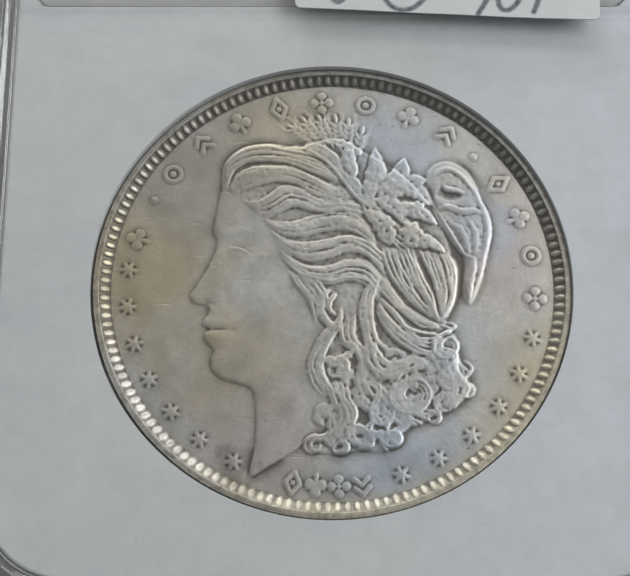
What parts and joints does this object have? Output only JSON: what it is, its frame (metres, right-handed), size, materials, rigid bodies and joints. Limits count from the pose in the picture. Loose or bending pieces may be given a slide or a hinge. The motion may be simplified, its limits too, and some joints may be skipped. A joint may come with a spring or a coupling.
{
  "type": "graded coin slab",
  "caption": "Clear sealed holder for a graded coin: a large silver coin in a white insert between two welded shells, with a paper label and a shop sticker.",
  "frame": {"origin": "centre of the slab's footprint, on the surface it lies on", "axes": "+X to the slab's right seen from the front, +Y to its label end, +Z out of its front window"},
  "size_m": [0.059, 0.084, 0.008],
  "materials": {
    "clear_plastic": "clear gloss",
    "white_plastic": "satin",
    "silver": "struck, lightly toned",
    "label_paper": "printed paper",
    "seal_foil": "patterned foil",
    "sticker_paper": "matt paper"
  },
  "bodies": {
    "root": {"front_shell": "clear_plastic", "rear_shell": "clear_plastic", "coin_insert": "white_plastic", "coin": "silver", "grade_label": "label_paper", "security_seal": "seal_foil", "price_sticker": "sticker_paper"}
  },
  "joints": []
}
